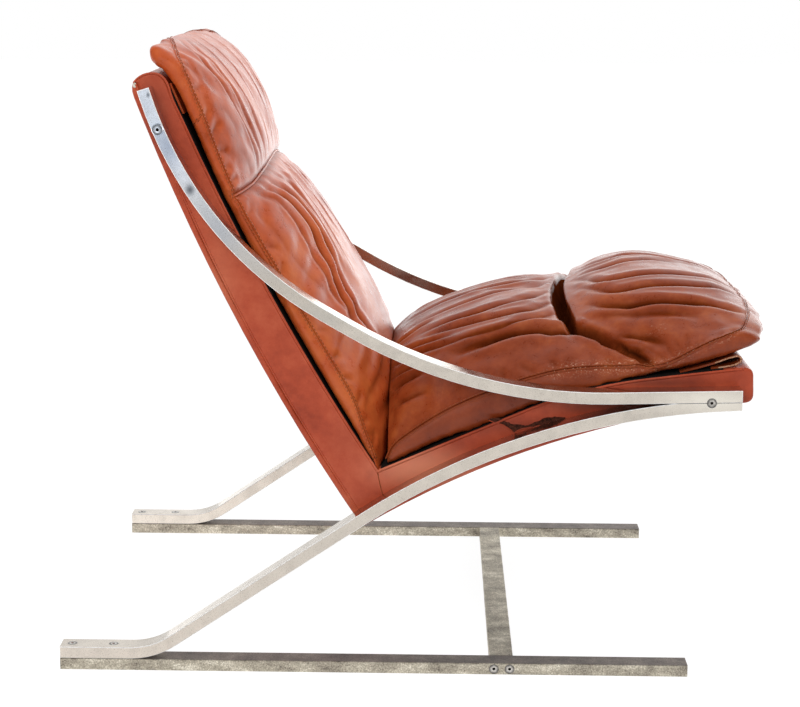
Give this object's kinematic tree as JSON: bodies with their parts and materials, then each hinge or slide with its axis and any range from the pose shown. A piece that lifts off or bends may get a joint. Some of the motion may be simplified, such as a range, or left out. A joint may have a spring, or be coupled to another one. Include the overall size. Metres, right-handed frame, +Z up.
{
  "type": "cantilever lounge chair",
  "caption": "Cantilever lounge chair: bent flat steel bars on a floor base carry a leather shell with loose seat and back cushions.",
  "frame": {"origin": "on the floor at the centre of the base crossbar's flat underside", "axes": "+X the way the sitter faces, +Y the sitter's left, +Z up"},
  "size_m": [0.9058, 0.6248, 0.7907],
  "materials": {
    "chrome": "worn polished plating on flat bar",
    "dull_steel": "dulled plating with spots of corrosion",
    "screw_steel": "machined steel",
    "shell_leather": "worn smooth leather",
    "cushion_leather": "soft creased leather with a sheen",
    "plywood": "bare birch plywood and timber",
    "webbing": "woven jute webbing",
    "felt": "pressed felt",
    "black_cloth": "thin black dust cloth"
  },
  "bodies": {
    "chair": {"arm_left": "chrome", "arm_right": "chrome", "arm_screw_left": "screw_steel", "arm_screw_right": "screw_steel", "arm_washer_left": "screw_steel", "arm_washer_right": "screw_steel", "back_cover": "shell_leather", "back_nut_left": "screw_steel", "back_nut_right": "screw_steel", "back_pad": "felt", "back_strap_1": "webbing", "back_strap_2": "webbing", "back_strap_3": "webbing", "back_strap_4": "webbing", "base_crossbar": "dull_steel", "base_rail_left": "dull_steel", "base_rail_right": "dull_steel", "cheek_left": "plywood", "cheek_right": "plywood", "crossbar_screw_left_front": "screw_steel", "crossbar_screw_left_rear": "screw_steel", "crossbar_screw_right_front": "screw_steel", "crossbar_screw_right_rear": "screw_steel", "foot_screw_left_front": "screw_steel", "foot_screw_left_rear": "screw_steel", "foot_screw_right_front": "screw_steel", "foot_screw_right_rear": "screw_steel", "heel_rail": "plywood", "leg_left": "chrome", "leg_right": "chrome", "nose_rail": "plywood", "outer_back": "shell_leather", "seat_cover": "shell_leather", "seat_flap": "cushion_leather", "seat_nut_left": "screw_steel", "seat_nut_right": "screw_steel", "seat_pad": "felt", "seat_screw_left": "screw_steel", "seat_screw_right": "screw_steel", "seat_strap_1": "webbing", "seat_strap_2": "webbing", "seat_strap_3": "webbing", "seat_strap_4": "webbing", "top_rail": "plywood", "underside_cloth": "black_cloth"},
    "back_cushion": {"back_cushion": "cushion_leather", "back_flap": "cushion_leather"},
    "seat_cushion": {"seat_cushion": "cushion_leather"}
  },
  "joints": [
    {"name": "back_cushion_lift", "type": "slide", "parent": "chair", "child": "back_cushion", "axis": [0, 0, 1], "range_m": [0, 0.4]},
    {"name": "seat_cushion_lift", "type": "slide", "parent": "chair", "child": "seat_cushion", "axis": [0.5, 0, 0.866], "range_m": [0, 0.3]}
  ]
}
